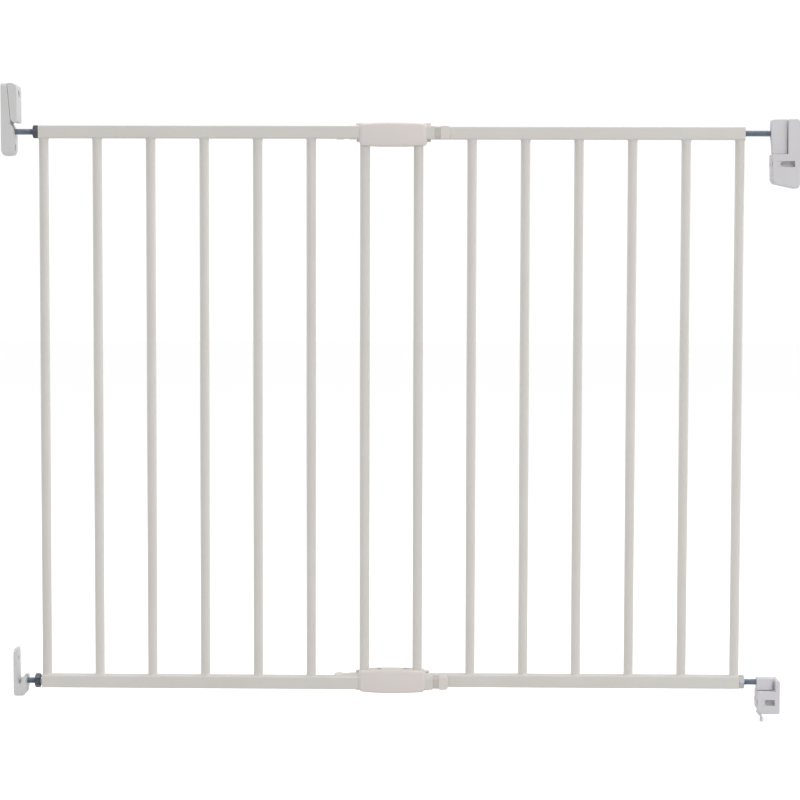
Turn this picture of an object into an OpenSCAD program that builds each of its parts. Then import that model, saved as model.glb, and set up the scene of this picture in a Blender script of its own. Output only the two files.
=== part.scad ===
// Extending metal baby gate: two barred panels that slide past each other,
// hung on two hinge brackets and caught by two latch brackets.
// X runs along the gate, the front is -Y, Z is up, Z = 0 at the lowest point.

/* [Panels] */
// Height of a panel over its two rails
panel_h = 720; // [620:10:900]
// Distance between the centres of two bars
bar_pitch = 68.1; // [62:0.1:72]
// Outside diameter of a bar
bar_d = 12; // [10:0.5:13]
// Wall thickness of a bar
bar_wall = 1; // [0.8:0.1:1.5]
// Height of a rail
rail_h = 16; // [15:0.5:20]
// Depth of a rail, front to back
rail_depth = 18; // [17:0.5:20]
// Wall thickness of a rail
rail_wall = 1.2; // [1:0.1:1.6]
// Rail left over past the innermost bar
rail_stub = 14.3; // [12:0.1:18]
// Gap between the front panel and the rear panel
panel_gap = 0.6; // [0.4:0.1:1.2]

/* [Adjusters] */
// Diameter of the threaded spindles
spindle_d = 8; // [8]
// Width of the nuts across their flats
nut_af = 16; // [14:0.5:17]
// Height of the nuts
nut_h = 7; // [6:0.5:8]

/* [Brackets] */
// Wall to the end of the upper rail on the latch side
latch_reach = 45.6; // [43:0.2:57]
// End of the rear rails to the hinge axis
hinge_offset = 39; // [39:0.5:46]
// Hinge axis to the wall at the upper bracket
hinge_reach = 29.4; // [29:0.2:32]
// How far the lower latch bracket stands in from the upper one
latch_skirting = 10; // [8:0.5:10.5]
// How far the lower hinge bracket stands in from the upper one
hinge_skirting = 17; // [15:0.5:17.5]
// Depth of the brackets, front to back
bracket_depth = 34; // [34:1:40]
// Diameter of the screw holes in the brackets
screw_hole_d = 4.8; // [4:0.1:5]
// How far the gate lifts to clear the latch
lift = 13; // [12.5:0.5:14]

/* [Coupler] */
// Width of the coupler's front shell
coupler_w = 86; // [80:1:90]
// Width of the coupler's rear guide
guide_w = 95; // [90:1:100]

/* [Hidden] */

$fn = 64;
eps = 0.01;
powder_white = [0.82, 0.81, 0.78];
moulded_white = [0.84, 0.82, 0.80];
bracket_white = [0.80, 0.80, 0.81];
zinc = [0.50, 0.55, 0.62];

// Layout along X, with the gate at its widest and the two upper wall faces at equal distances
bar_count = 8;
bar_spaces = 13;
gate_w = bar_spaces * bar_pitch + bar_d;
hinge_wall = hinge_offset + hinge_reach;
total_w = latch_reach + gate_w + hinge_wall;
left_end = latch_reach - total_w / 2;
right_end = left_end + gate_w;
rail_len = (bar_count - 1) * bar_pitch + bar_d + rail_stub;
front_inner = left_end + rail_len;
rear_inner = right_end - rail_len;
hinge_x = right_end + hinge_offset;
upper_wall_r = hinge_x + hinge_reach;
lower_wall_r = upper_wall_r - hinge_skirting;
upper_wall_l = left_end - latch_reach;
lower_wall_l = upper_wall_l + latch_skirting;

// Layout along Y and Z
panel_y = (rail_depth + panel_gap) / 2;
floor_gap = 40;
low_z = floor_gap + rail_h / 2;
top_z = floor_gap + panel_h - rail_h / 2;
mid_z = (low_z + top_z) / 2;

// Fits
running = 0.05;
slide_gap = 0.3;
slot_gap = 0.3;

// Spindles, sleeves and plugs
spindle_in = 55;
insert_len = 30;
insert_nose = 2.5;
insert_nose_d = 10;
plug_in = 20;
plug_neck = 7.5;
plug_head = 12.2;
rib_t = 1;

// Coupler
coupler_h = 30;
coupler_over = 4;
coupler_front = 6.5;
coupler_bulge = 300;
coupler_arch = 620;
coupler_x = front_inner - 9.4 - coupler_w / 2;
inner_bars_x = left_end + bar_d / 2 + (bar_count - 1.5) * bar_pitch;
guide_wall = 3;
guide_lip = 2.7;
lip_y = 16.4;
tongue_w = 18;
tongue_x = 25;
tongue_t = 2;
screw_x = 17;
screw_d = 3.5;
screw_head_d = 7;

// Hinge
pin_d = 6;
pin_upper_deep = 20;
pin_lower_deep = 18;
knuckle_up = 18;
knuckle_down = 26.2;
ledge_gap = 0.4;
low_knuckle_up = 6;
low_knuckle_down = 10;
hinge_hole_y = 11.5;
upper_hole_z = -39;
lower_hole_z = -24;
channel_h = 7.6;
driver_d = 7.6;

// Latch
slot_floor = 6;
tip_x = 8.5;
latch_hole_top = 48;
latch_hole_low = -20;
cup_hole_top = 28.5;
cup_hole_low = -12;
head_d = 9;

// Rounds the outward corners of an outline
module soften(r) {
    offset(r = r, $fn = 24) offset(delta = -r) children();
}

// A rectangle with round corners, centred
module round_rect(w, h, r) {
    square([w - 2 * r, h], center = true);
    square([w, h - 2 * r], center = true);
    for (x = [-1, 1], y = [-1, 1])
        translate([x * (w / 2 - r), y * (h / 2 - r)]) circle(r);
}

// Extrudes a Y-Z outline along X, from x to x + len
module along_x(x, len) {
    translate([x, 0, 0]) rotate([90, 0, 90]) linear_extrude(len) children();
}

// Extrudes an X-Z outline along Y, from -depth/2 to depth/2
module through_y(depth) {
    rotate([90, 0, 0]) linear_extrude(depth, center = true) children();
}

// A round rod or bore along X, from x to x + len
module rod_x(x, len, d) {
    translate([x, 0, 0]) rotate([0, 90, 0]) cylinder(h = len, d = d);
}

// Places a piece of the latch side: wall at x = 0, spindle axis at z = 0
module at_latch(upper) {
    translate([upper ? upper_wall_l : lower_wall_l, -panel_y, upper ? top_z : low_z]) children();
}

// Places a piece of the hinge side: hinge axis at x = 0, spindle axis at z = 0
module at_hinge(upper) {
    translate([hinge_x, panel_y, upper ? top_z : low_z]) children();
}

// ---- Panels ----
module rail(x, y, z) {
    color(powder_white)
    translate([0, y, z]) along_x(x, rail_len)
    difference() {
        round_rect(rail_depth, rail_h, 2);
        round_rect(rail_depth - 2 * rail_wall, rail_h - 2 * rail_wall, 1);
    }
}

module bar(x, y) {
    color(powder_white)
    translate([x, y, floor_gap + rail_h])
    difference() {
        cylinder(h = panel_h - 2 * rail_h, d = bar_d);
        translate([0, 0, -eps]) cylinder(h = panel_h, d = bar_d - 2 * bar_wall);
    }
}

module front_bar(n) bar(left_end + bar_d / 2 + (n - 1) * bar_pitch, -panel_y);
module rear_bar(n) bar(right_end - bar_d / 2 - (n - 1) * bar_pitch, panel_y);

// Plug for a rail's inner end: a ribbed neck and a rounded head, pointing along +X
module end_plug() {
    in_w = rail_depth - 2 * rail_wall;
    in_h = rail_h - 2 * rail_wall;
    color(moulded_white) {
        along_x(-plug_in, plug_in + plug_neck + 1) round_rect(in_w, in_h, 1);
        for (i = [0:2]) along_x(1 + i * 2.2, rib_t) round_rect(rail_depth - 1, rail_h - 1, 1.5);
        intersection() {
            along_x(plug_neck, plug_head) round_rect(rail_depth, rail_h, 2);
            translate([plug_neck + plug_head / 2, 0, 0])
            through_y(rail_depth) union() {
                round_rect(plug_head, rail_h, 4);
                translate([-plug_head / 4, 0]) square([plug_head / 2, rail_h], center = true);
            }
        }
    }
}

// Sleeve in a rail's outer end, with the spindle's bore, pointing along -X
module end_insert(nose) {
    color(moulded_white)
    difference() {
        union() {
            along_x(0, insert_len)
                round_rect(rail_depth - 2 * rail_wall, rail_h - 2 * rail_wall, 1);
            if (nose > 0) rod_x(-nose, nose + 1, insert_nose_d);
        }
        rod_x(-nose - 1, insert_len + nose + 2, spindle_d + 2 * running);
    }
}

// ---- Coupler, drawn for the top rails with z = 0 at the rails' centre ----
module coupler_outline() {
    low = rail_h / 2 + coupler_over - coupler_h;
    mid = low + coupler_h / 2;
    translate([0, mid]) intersection() {
        round_rect(coupler_w, coupler_h, 5);
        translate([0, coupler_h / 2 - coupler_arch]) circle(coupler_arch, $fn = 360);
        translate([0, coupler_arch - coupler_h / 2]) circle(coupler_arch, $fn = 360);
    }
}

module coupler_shell() {
    front = -panel_y - rail_depth / 2 - coupler_front;
    back = -panel_gap / 2 - 0.2;
    low = rail_h / 2 + coupler_over - coupler_h;
    color(moulded_white)
    difference() {
        intersection() {
            translate([0, (front + back) / 2, 0]) through_y(back - front) coupler_outline();
            translate([0, front + coupler_bulge, -50])
                cylinder(h = 100, r = coupler_bulge, $fn = 360);
        }
        // the rail, the two bars and the guide's tongues
        translate([-60, -panel_y - rail_depth / 2, -rail_h / 2]) cube([120, rail_depth + 1, rail_h]);
        for (s = [-1, 1])
            translate([inner_bars_x - coupler_x + s * bar_pitch / 2, -panel_y, -30])
                cylinder(h = 30, d = bar_d + 0.2);
        for (s = [-1, 1])
            translate([s * tongue_x - tongue_w / 2, -12, rail_h / 2 - eps])
                cube([tongue_w, 12, tongue_t + eps]);
        // hollow between the bars, open to the back
        difference() {
            translate([-24, -panel_y - 9, low + 2.5])
                cube([48, 20, coupler_h - coupler_over - rail_h - 2.5 + eps]);
            for (s = [-1, 1])
                translate([s * screw_x, -panel_y, low]) cylinder(h = 12, d = 9);
        }
        // screw holes from below
        for (s = [-1, 1]) translate([s * screw_x, -panel_y, low - 1]) {
            cylinder(h = 15, d = screw_d + 0.2);
            cylinder(h = 1 + 3, d = screw_head_d + 0.6);
        }
    }
}

module coupler_guide() {
    rail_back = panel_y + rail_depth / 2;
    web_z = rail_h / 2 + slide_gap;
    web_t = coupler_over - slide_gap;
    low = -rail_h / 2 - slide_gap - guide_lip;
    color(moulded_white) {
        // web over the rail, back wall and lower lip
        along_x(-guide_w / 2, guide_w) polygon([
            [-0.3, web_z], [rail_back + slide_gap, web_z],
            [rail_back + slide_gap, -rail_h / 2 - slide_gap],
            [lip_y, -rail_h / 2 - slide_gap], [lip_y, low],
            [rail_back + slide_gap + guide_wall - 1, low],
            [rail_back + slide_gap + guide_wall, low + 1],
            [rail_back + slide_gap + guide_wall, web_z + web_t - 1.5],
            [rail_back + slide_gap + guide_wall - 1.5, web_z + web_t],
            [-0.3, web_z + web_t]
        ]);
        for (s = [-1, 1])
            translate([s * tongue_x - tongue_w / 2 + 0.2, -11.6, rail_h / 2])
                cube([tongue_w - 0.4, 12, tongue_t - 0.1]);
    }
}

// Places a coupler piece on the top rails, or turned over on the bottom ones
module at_coupler(top) {
    translate([coupler_x, 0, top ? top_z : low_z]) mirror([0, 0, top ? 0 : 1]) children();
}

// Pan-head screws that run through the shells into the front rails
module coupler_screws() {
    low = rail_h / 2 + coupler_over - coupler_h;
    color(zinc)
    for (top = [true, false], s = [-1, 1])
        at_coupler(top) translate([s * screw_x, -panel_y, low]) {
            translate([0, 0, 0.6]) cylinder(h = 2.4, d = screw_head_d);
            translate([0, 0, 2.9]) cylinder(h = 7, d = screw_d);
        }
}

// ---- Adjusters ----
module nut(corner_up) {
    color(zinc)
    difference() {
        rotate([0, 90, 0]) rotate([0, 0, corner_up ? 0 : 30])
            cylinder(h = nut_h, d = nut_af / cos(30), $fn = 6);
        rod_x(-1, nut_h + 2, spindle_d + 2 * running);
    }
}

module spindle(x0, x1) {
    chamfer = 1;
    color(zinc)
    rotate([0, 90, 0]) rotate_extrude() polygon([
        [0, x0], [spindle_d / 2 - chamfer, x0], [spindle_d / 2, x0 + chamfer],
        [spindle_d / 2, x1 - chamfer], [spindle_d / 2 - chamfer, x1], [0, x1]
    ]);
}

module latch_spindle(upper) {
    wall = upper ? upper_wall_l : lower_wall_l;
    translate([0, -panel_y, upper ? top_z : low_z]) spindle(wall + tip_x, left_end + spindle_in);
}

module hinge_spindle(upper) {
    end = hinge_x - pin_d / 2 - 1;
    translate([0, panel_y, upper ? top_z : low_z]) spindle(right_end - spindle_in, end);
}

// ---- Hinge ----
module hinge_pin(up, deep) {
    color(zinc) {
        translate([0, 0, -deep]) cylinder(h = deep + up, d = pin_d);
    }
}

// Upper knuckle: a block round the pin, with the spindle's socket on the gate side
module upper_knuckle() {
    left = -6.5;
    right = 14;
    half = 9;
    color(bracket_white)
    at_hinge(true)
    difference() {
        intersection() {
            translate([0, 0, -knuckle_down]) linear_extrude(knuckle_down + knuckle_up)
                translate([(left + right) / 2, 0]) round_rect(right - left, 2 * half, 2);
            through_y(2 * half) soften(3) polygon([
                [left, knuckle_up - 0.5], [right, knuckle_up], [right, -knuckle_down],
                [left + 2, -knuckle_down], [left + 1.6, -12], [left, -4]
            ]);
        }
        rod_x(-20, 20 - pin_d / 2 - 1, spindle_d);
        translate([0, 0, -knuckle_down - 1])
            cylinder(h = knuckle_down + knuckle_up - 2, d = pin_d + 2 * running);
    }
}

// Lower knuckle: a round eye with a nose that holds the spindle
module lower_knuckle() {
    eye = 6.3;
    nose = -16.5;
    color(bracket_white)
    at_hinge(false)
    difference() {
        translate([0, 0, -low_knuckle_down]) {
            cylinder(h = low_knuckle_down + low_knuckle_up, r = eye);
            translate([nose + 2, -eye, 0]) cube([-nose - 2, 2 * eye, low_knuckle_down + low_knuckle_up]);
            translate([nose, -eye + 2, 2]) cube([4, 2 * eye - 4, low_knuckle_down + low_knuckle_up - 4]);
        }
        rod_x(-30, 30 - pin_d / 2 - 1, spindle_d);
        translate([0, 0, -low_knuckle_down - 1])
            cylinder(h = low_knuckle_down + low_knuckle_up - 1, d = pin_d + 2 * running);
    }
}

// Screw hole, its ramped channel in the face and the way in for a driver, on both sides
module hinge_screw_way(wall, z, body_l, floor_x) {
    for (s = [-1, 1]) translate([0, s * hinge_hole_y, z]) {
        rod_x(floor_x - 1, wall - floor_x + 2, screw_hole_d);
        rod_x(body_l - 1, floor_x - body_l + 1, driver_d);
        channel = bracket_depth / 2 - hinge_hole_y;
        mirror([0, s < 0 ? 0 : 1, 0]) translate([0, 0, -channel_h / 2]) linear_extrude(channel_h)
            polygon([
                [floor_x, 0], [floor_x, -channel - 1], [body_l + 5, -channel - 1],
                [body_l + 5, -channel], [body_l + 9, -channel + 1.5], [floor_x - 6, 0]
            ]);
    }
}

module upper_hinge_bracket() {
    wall = hinge_reach;
    left = -5.5;
    top = 17.8;
    bottom = -70.5;
    seat = -knuckle_down - ledge_gap;
    seam = 14.4;
    swing_r = 17.1;
    color(bracket_white)
    at_hinge(true)
    difference() {
        through_y(bracket_depth) soften(3) polygon([
            [seam, top], [wall, top - 0.6], [wall, bottom + 4], [wall - 1.5, bottom],
            [left + 3, bottom + 6.5], [left + 0.6, bottom + 10], [left, seat], [seam, seat]
        ]);
        // swing space of the knuckle
        translate([0, 0, seat]) cylinder(h = 60, r = swing_r);
        // the pin's socket
        translate([0, 0, -knuckle_down - pin_upper_deep - 0.5])
            cylinder(h = 40, d = pin_d + 2 * running);
        hinge_screw_way(wall, upper_hole_z, left, wall - 6.5);
    }
}

module lower_hinge_bracket() {
    wall = hinge_reach - hinge_skirting;
    left = -16;
    top = 4;
    bottom = -39;
    seat = -low_knuckle_down - ledge_gap;
    back = 6.9;
    color(bracket_white)
    at_hinge(false)
    difference() {
        through_y(bracket_depth) soften(2) polygon([
            [back, top - 1.5], [back + 2, top], [wall, top], [wall, bottom],
            [left + 4, bottom], [left, bottom + 5], [left, seat], [back, seat]
        ]);
        translate([0, 0, -low_knuckle_down - pin_lower_deep - 0.5])
            cylinder(h = 40, d = pin_d + 2 * running);
        hinge_screw_way(wall, lower_hole_z, left, wall - 6.5);
    }
}

// Thin clip that lies on the lower hinge bracket's cut corner and hangs below it
module stop_clip() {
    width = 8;
    tip = -low_z;
    color(bracket_white)
    at_hinge(false) translate([0, -bracket_depth / 2 + width / 2, 0]) through_y(width)
        soften(0.6) polygon([
            [-16, -34], [-12, -39], [-10, -40.6], [-9.4, -43], [-9.4, tip],
            [-11.8, tip], [-11.8, -43.6], [-13.6, -41], [-17, -37.4], [-17.4, -35]
        ]);
}

// ---- Latch ----
// U-slot along X, open at the top
module latch_slot(x0, x1, top) {
    width = spindle_d + 2 * slot_gap;
    rod_x(x0, x1 - x0, width);
    translate([x0, -width / 2, 0]) cube([x1 - x0, width, top]);
}

module upper_latch_bracket() {
    body = 15.5;
    color(bracket_white)
    at_latch(true)
    difference() {
        union() {
            through_y(bracket_depth) soften(1.5) polygon([
                [0, 60.8], [7.8, 60.8], [8.4, 55], [12, 14.8], [11.2, 9.6], [12.6, 7.6],
                [body - 2, 6], [body, 0], [body, -24], [body - 3, -29.5], [3, -31], [0, -24]
            ]);
            // tongue that the lock cap slides on
            translate([6, -8, 28]) cube([9.5, 16, 14]);
        }
        latch_slot(slot_floor, 30, lift + spindle_d);
        for (z = [latch_hole_low, latch_hole_top]) translate([0, 0, z]) {
            rod_x(-1, 30, screw_hole_d);
            rod_x(5, 30, head_d);
        }
    }
}

module lower_latch_cup() {
    plate = 4.5;
    block = 16;
    color(bracket_white)
    at_latch(false)
    difference() {
        through_y(bracket_depth - 4) soften(1.2) polygon([
            [0.6, 42.5], [plate - 0.6, 42.5], [plate, 34], [plate, 5], [6.6, -2.7], [9, -2.7],
            [11, 6.5], [block, 7], [block, -6], [block - 2, -14.5], [block - 6, -18.8],
            [1.5, -18.8], [0, -16], [0, 34]
        ]);
        latch_slot(slot_floor, 30, 10);
        translate([0, 0, cup_hole_top]) rod_x(-1, 30, screw_hole_d);
        translate([0, 0, cup_hole_low]) {
            rod_x(-1, 30, screw_hole_d);
            rod_x(plate, 30, 7);
        }
    }
}

// Cap that slides up to open the upper slot
module lock_cap() {
    face = 20.5;
    wall = 2.4;
    color(bracket_white)
    at_latch(true)
    difference() {
        through_y(bracket_depth) soften(1.5) polygon([
            [8.7, 57], [8.2, 60.4], [15, 60.8], [face, 57.5], [face, 11.4],
            [15.5, 11.1], [12.4, 14.8]
        ]);
        // hollow over the bracket's tongue, open to the wall
        translate([0, -bracket_depth / 2 + wall, 15])
            cube([face - wall, bracket_depth - 2 * wall, 42]);
        translate([0, 0, latch_hole_top]) rod_x(0, 40, head_d);
    }
}

rail(left_end, -panel_y, top_z);  // front_top_rail
rail(left_end, -panel_y, low_z);  // front_bottom_rail
front_bar(1);  // front_bar_1
front_bar(2);  // front_bar_2
front_bar(3);  // front_bar_3
front_bar(4);  // front_bar_4
front_bar(5);  // front_bar_5
front_bar(6);  // front_bar_6
front_bar(7);  // front_bar_7
front_bar(8);  // front_bar_8
translate([front_inner, -panel_y, top_z]) end_plug();  // front_top_plug
translate([front_inner, -panel_y, low_z]) end_plug();  // front_bottom_plug
translate([left_end, -panel_y, top_z]) end_insert(0);  // front_top_insert
translate([left_end, -panel_y, low_z]) end_insert(insert_nose);  // front_bottom_insert
at_coupler(true) coupler_shell();  // top_coupler_shell
at_coupler(true) coupler_guide();  // top_coupler_guide
at_coupler(false) coupler_shell();  // bottom_coupler_shell
at_coupler(false) coupler_guide();  // bottom_coupler_guide
coupler_screws();
rail(rear_inner, panel_y, top_z);  // rear_top_rail
rail(rear_inner, panel_y, low_z);  // rear_bottom_rail
rear_bar(1);  // rear_bar_1
rear_bar(2);  // rear_bar_2
rear_bar(3);  // rear_bar_3
rear_bar(4);  // rear_bar_4
rear_bar(5);  // rear_bar_5
rear_bar(6);  // rear_bar_6
rear_bar(7);  // rear_bar_7
rear_bar(8);  // rear_bar_8
translate([rear_inner, panel_y, top_z]) mirror([1, 0, 0]) end_plug();  // rear_top_plug
translate([rear_inner, panel_y, low_z]) mirror([1, 0, 0]) end_plug();  // rear_bottom_plug
translate([right_end, panel_y, top_z]) mirror([1, 0, 0]) end_insert(0);  // rear_top_insert
translate([right_end, panel_y, low_z]) mirror([1, 0, 0]) end_insert(0);  // rear_bottom_insert
latch_spindle(true);  // upper_latch_spindle
translate([left_end - nut_h, -panel_y, top_z]) nut(false);  // upper_latch_nut
latch_spindle(false);  // lower_latch_spindle
translate([left_end - nut_h - insert_nose, -panel_y, low_z]) nut(true);  // lower_latch_nut
hinge_spindle(true);  // upper_hinge_spindle
hinge_spindle(false);  // lower_hinge_spindle
translate([right_end, panel_y, low_z]) nut(false);  // lower_hinge_nut
upper_knuckle();
lower_knuckle();
at_hinge(true) hinge_pin(knuckle_up - 3, knuckle_down + pin_upper_deep);  // upper_hinge_pin
at_hinge(false) hinge_pin(low_knuckle_up - 2, low_knuckle_down + pin_lower_deep);  // lower_hinge_pin
upper_hinge_bracket();
lower_hinge_bracket();
stop_clip();
upper_latch_bracket();
lower_latch_cup();
lock_cap();
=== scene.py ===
"""Looks of the extending metal baby gate, built round its CAD frame.

Two barred steel panels slide past each other through plastic couplers. Threaded spindles and
nuts carry them on moulded wall brackets: hinges on the right, the latch on the left.
"""

import math
from collections import namedtuple

import bmesh
import bpy
from mathutils import Matrix, Vector


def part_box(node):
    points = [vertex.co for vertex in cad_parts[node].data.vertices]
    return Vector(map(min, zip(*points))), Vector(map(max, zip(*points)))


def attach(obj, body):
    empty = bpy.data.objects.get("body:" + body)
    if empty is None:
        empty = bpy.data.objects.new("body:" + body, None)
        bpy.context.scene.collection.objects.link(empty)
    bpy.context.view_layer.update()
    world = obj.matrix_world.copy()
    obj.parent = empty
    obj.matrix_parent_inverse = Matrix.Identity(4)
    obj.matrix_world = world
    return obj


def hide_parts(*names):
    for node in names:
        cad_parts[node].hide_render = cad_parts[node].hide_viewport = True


bl_info = {
    "name": "Extending Baby Gate",
    "version": (1, 0, 0),
    "blender": (4, 5, 0),
    "location": "3D View > Sidebar > Baby Gate",
    "description": "Builds the visible pieces of an extending metal baby gate on its frame",
    "category": "Add Mesh",
}

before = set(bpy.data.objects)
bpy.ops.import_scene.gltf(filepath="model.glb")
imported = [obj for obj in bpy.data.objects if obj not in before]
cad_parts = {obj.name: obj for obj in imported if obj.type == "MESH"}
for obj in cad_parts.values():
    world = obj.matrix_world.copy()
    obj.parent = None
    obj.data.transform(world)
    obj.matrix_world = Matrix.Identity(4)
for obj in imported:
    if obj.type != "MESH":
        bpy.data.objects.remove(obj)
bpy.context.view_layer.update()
Corner = namedtuple("Corner", "x y z")

MM = 0.001
PANELS = {"front": "front_panel", "rear": "rear_panel"}
LEVELS = {"top": "top_rail", "bottom": "bottom_rail"}
SHARP_ANGLE = math.radians(34)
RIM_STEPS = 4
MERGE_GAP = 1e-6
# millimetres
LEDGE_GAP = 0.4
PLUG_DEPTH = 12
PLUG_NECK = 7.5
RIB_PITCH = 2.2
FIRST_RIB, LAST_RIB = 1.5, -5.9
SLEEVE_DEPTH = 30
SCREW_HOLE = 2.4
SCREW_SPREAD = 11.5
COUPLER_SCREW_X = 17
BAR_HOLE = 6.15
SLIDE_GAP = 0.3
SEAM_X = 14.4
SWING_ROOM = 17.1
PIN_HOLE = 3.05
SLOT_RADIUS = 4.3


# ---------------------------------------------------------------- measures from the frame
def corner_pair(node):
    """Lowest and highest corner of a CAD node, as vectors in metres."""
    low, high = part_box(node)
    return Vector(low), Vector(high)


def local_box(node, anchor):
    """Lowest and highest corner of a CAD node from an anchor, in millimetres."""
    return [Corner(*((value - start) / MM for value, start in zip(corner, anchor)))
            for corner in corner_pair(node)]


def middle(node):
    """Centre of a CAD node's box."""
    low, high = corner_pair(node)
    return (low + high) / 2


def latch_anchor(bracket, spindle):
    """Wall plane, middle depth and spindle height of a latch bracket."""
    return Vector((corner_pair(bracket)[0].x, middle(bracket).y, middle(spindle).z))


def hinge_anchor(pin, spindle):
    """Hinge axis and spindle height of a hinge bracket."""
    centre = middle(pin)
    return Vector((centre.x, centre.y, middle(spindle).z))


# ---------------------------------------------------------------- mesh helpers
def fillet(points, steps=6):
    """Rounds each corner of an outline of (a, b, radius) points, in millimetres."""
    outline = []
    count = len(points)
    for i, (a, b, radius) in enumerate(points):
        here = Vector((a, b))
        if radius <= 0:
            outline.append(here)
            continue
        before = Vector(points[i - 1][:2]) - here
        after = Vector(points[(i + 1) % count][:2]) - here
        turn = before.angle(after)
        reach = radius / max(math.tan(turn / 2), 0.05)
        reach = min(reach, 0.48 * before.length, 0.48 * after.length)
        start = here + before.normalized() * reach
        end = here + after.normalized() * reach
        for k in range(steps + 1):
            t = k / steps
            outline.append(start * (1 - t) ** 2 + here * 2 * t * (1 - t) + end * t**2)
    return outline


def rounded_box_outline(width, height, radius, steps=6):
    """Outline of a rectangle with round corners, centred, in millimetres."""
    w, h = width / 2, height / 2
    return fillet([(-w, -h, radius), (w, -h, radius), (w, h, radius), (-w, h, radius)], steps)


def place(plane, a, b, depth):
    """A point of an outline drawn in XZ, YZ or XY, at a depth along the third axis."""
    return {"XZ": (a, depth, b), "YZ": (depth, a, b), "XY": (a, b, depth)}[plane]


def extrude(outline, plane, low, high, rim=0.0):
    """A closed solid from an outline in millimetres, with its rims rounded."""
    bm = bmesh.new()
    rings = {}
    for end, depth in (("low", low), ("high", high)):
        rings[end] = [bm.verts.new(place(plane, p.x, p.y, depth)) for p in outline]
    bm.faces.new(rings["low"])
    bm.faces.new(list(reversed(rings["high"])))
    count = len(outline)
    for i in range(count):
        j = (i + 1) % count
        bm.faces.new((rings["low"][i], rings["high"][i], rings["high"][j], rings["low"][j]))
    bmesh.ops.recalc_face_normals(bm, faces=bm.faces)
    if rim > 0:
        chosen = [set(ring) for ring in rings.values()]
        edges = [e for e in bm.edges if any(set(e.verts) <= ring for ring in chosen)]
        bmesh.ops.bevel(
            bm, geom=edges, offset=rim, segments=RIM_STEPS, profile=0.5,
            affect="EDGES", clamp_overlap=True,
        )
    return bm


def rod(axis, start, length, radius, sides=40):
    """A closed round rod along an axis, in millimetres."""
    bm = bmesh.new()
    bmesh.ops.create_cone(
        bm, cap_ends=True, segments=sides, radius1=radius, radius2=radius, depth=length,
    )
    turn = {
        "X": Matrix.Rotation(math.pi / 2, 4, "Y"),
        "Z": Matrix.Identity(4),
    }[axis]
    shift = {"X": (length / 2, 0, 0), "Z": (0, 0, length / 2)}[axis]
    bmesh.ops.transform(
        bm, matrix=Matrix.Translation(Vector(start) + Vector(shift)) @ turn, verts=bm.verts
    )
    return bm


def lathe(profile, sides=48):
    """A closed solid of revolution from (radius, height) points that start and end on the axis."""
    bm = bmesh.new()
    rings = []
    for radius, height in profile:
        if radius == 0:
            rings.append([bm.verts.new((0, 0, height))])
            continue
        rings.append([
            bm.verts.new((
                radius * math.cos(2 * math.pi * k / sides),
                radius * math.sin(2 * math.pi * k / sides), height,
            ))
            for k in range(sides)
        ])
    for lower, upper in zip(rings, rings[1:]):
        for k in range(sides):
            j = (k + 1) % sides
            loop = [lower[k % len(lower)], lower[j % len(lower)]]
            loop += [upper[j % len(upper)], upper[k % len(upper)]]
            unique = list(dict.fromkeys(loop))
            if len(unique) > 2:
                bm.faces.new(unique)
    bmesh.ops.recalc_face_normals(bm, faces=bm.faces)
    return bm


def block(low, high):
    """A plain box between two corners, used for cutting."""
    outline = [Vector((x, z)) for x, z in
               ((low[0], low[2]), (high[0], low[2]), (high[0], high[2]), (low[0], high[2]))]
    return extrude(outline, "XZ", low[1], high[1])


def merge(parts):
    """Joins several bmeshes into the first one."""
    first = parts[0]
    for other in parts[1:]:
        mesh = bpy.data.meshes.new("part")
        other.to_mesh(mesh)
        other.free()
        first.from_mesh(mesh)
        bpy.data.meshes.remove(mesh)
    return first


def to_object(bm, name):
    """A linked object from a bmesh."""
    mesh = bpy.data.meshes.new(name)
    bm.to_mesh(mesh)
    bm.free()
    obj = bpy.data.objects.new(name, mesh)
    bpy.context.collection.objects.link(obj)
    return obj


def settle(obj):
    """Replaces an object's mesh by its evaluated one and drops its modifiers."""
    bpy.context.view_layer.update()
    graph = bpy.context.evaluated_depsgraph_get()
    mesh = bpy.data.meshes.new_from_object(obj.evaluated_get(graph))
    obj.modifiers.clear()
    obj.data = mesh


def carve(body, cutters, operation="DIFFERENCE"):
    """Cuts each cutter out of a bmesh, or joins it on, and returns the new bmesh."""
    solid = to_object(body, "solid")
    tools = [to_object(cutter, "tool") for cutter in cutters]
    for tool in tools:
        cut = solid.modifiers.new("cut", "BOOLEAN")
        cut.operation = operation
        cut.solver = "EXACT"
        cut.object = tool
    settle(solid)
    result = bmesh.new()
    result.from_mesh(solid.data)
    for spent in [solid] + tools:
        bpy.data.objects.remove(spent)
    return result


def smooth(obj):
    """Smooth shading with sharp edges kept."""
    obj.data.polygons.foreach_set("use_smooth", [True] * len(obj.data.polygons))
    obj.data.set_sharp_from_angle(angle=SHARP_ANGLE)


def finish_piece(bm, name, anchor, material, body, nodes):
    """Puts a mesh in place, smooths it, gives it its material and ties it to its CAD body."""
    bmesh.ops.transform(
        bm, matrix=Matrix.Translation(anchor) @ Matrix.Diagonal((MM, MM, MM, 1)),
        verts=bm.verts,
    )
    bmesh.ops.remove_doubles(bm, verts=bm.verts, dist=MERGE_GAP)
    bmesh.ops.recalc_face_normals(bm, faces=bm.faces)
    obj = to_object(bm, name)
    smooth(obj)
    weighted = obj.modifiers.new("normals", "WEIGHTED_NORMAL")
    weighted.keep_sharp = True
    settle(obj)
    return tie(obj, material, body, nodes)


def tie(obj, material, body, nodes):
    """Gives a finished object its material, ties it to its body and hides the CAD nodes it
    replaces.
    """
    obj.data.materials.clear()
    obj.data.materials.append(material)
    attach(obj, body)
    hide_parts(*nodes)
    return obj


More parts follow.
